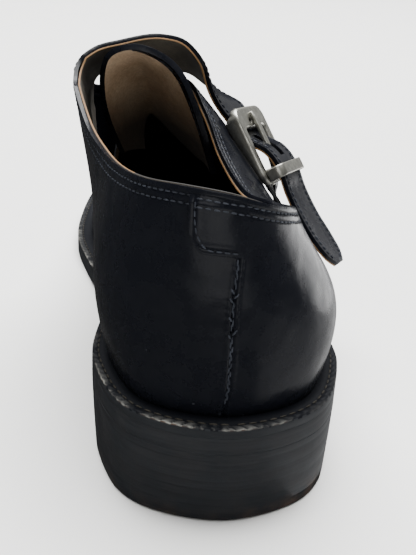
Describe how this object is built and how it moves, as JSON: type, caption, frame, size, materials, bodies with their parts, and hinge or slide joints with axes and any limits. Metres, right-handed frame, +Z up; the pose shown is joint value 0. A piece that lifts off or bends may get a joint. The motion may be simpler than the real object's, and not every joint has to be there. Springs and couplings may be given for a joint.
{
  "type": "monk strap shoe",
  "caption": "Right leather dress shoe with a buckled strap over the instep, a full welt, a leather sole and a stacked heel.",
  "frame": {"origin": "middle of the heel's tread, on the floor", "axes": "+X to the outer side of the foot, +Y towards the toe, +Z up"},
  "size_m": [0.1072, 0.305, 0.1233],
  "materials": {
    "black_leather": "polished black calf, slightly creased",
    "sole_leather": "burnished black sole edge",
    "sock_leather": "dark matt sock",
    "lined_leather": "tan lining, matt",
    "pewter": "worn antique silver"
  },
  "bodies": {
    "root": {"outsole": "sole_leather", "heel": "sole_leather", "welt": "sole_leather", "insole": "sock_leather", "upper": "black_leather", "heel_tab": "black_leather", "tongue": "lined_leather", "strap": "black_leather", "buckle_frame": "pewter", "buckle_prong": "pewter", "strap_keeper": "pewter", "buckle_tab": "black_leather"}
  },
  "joints": []
}
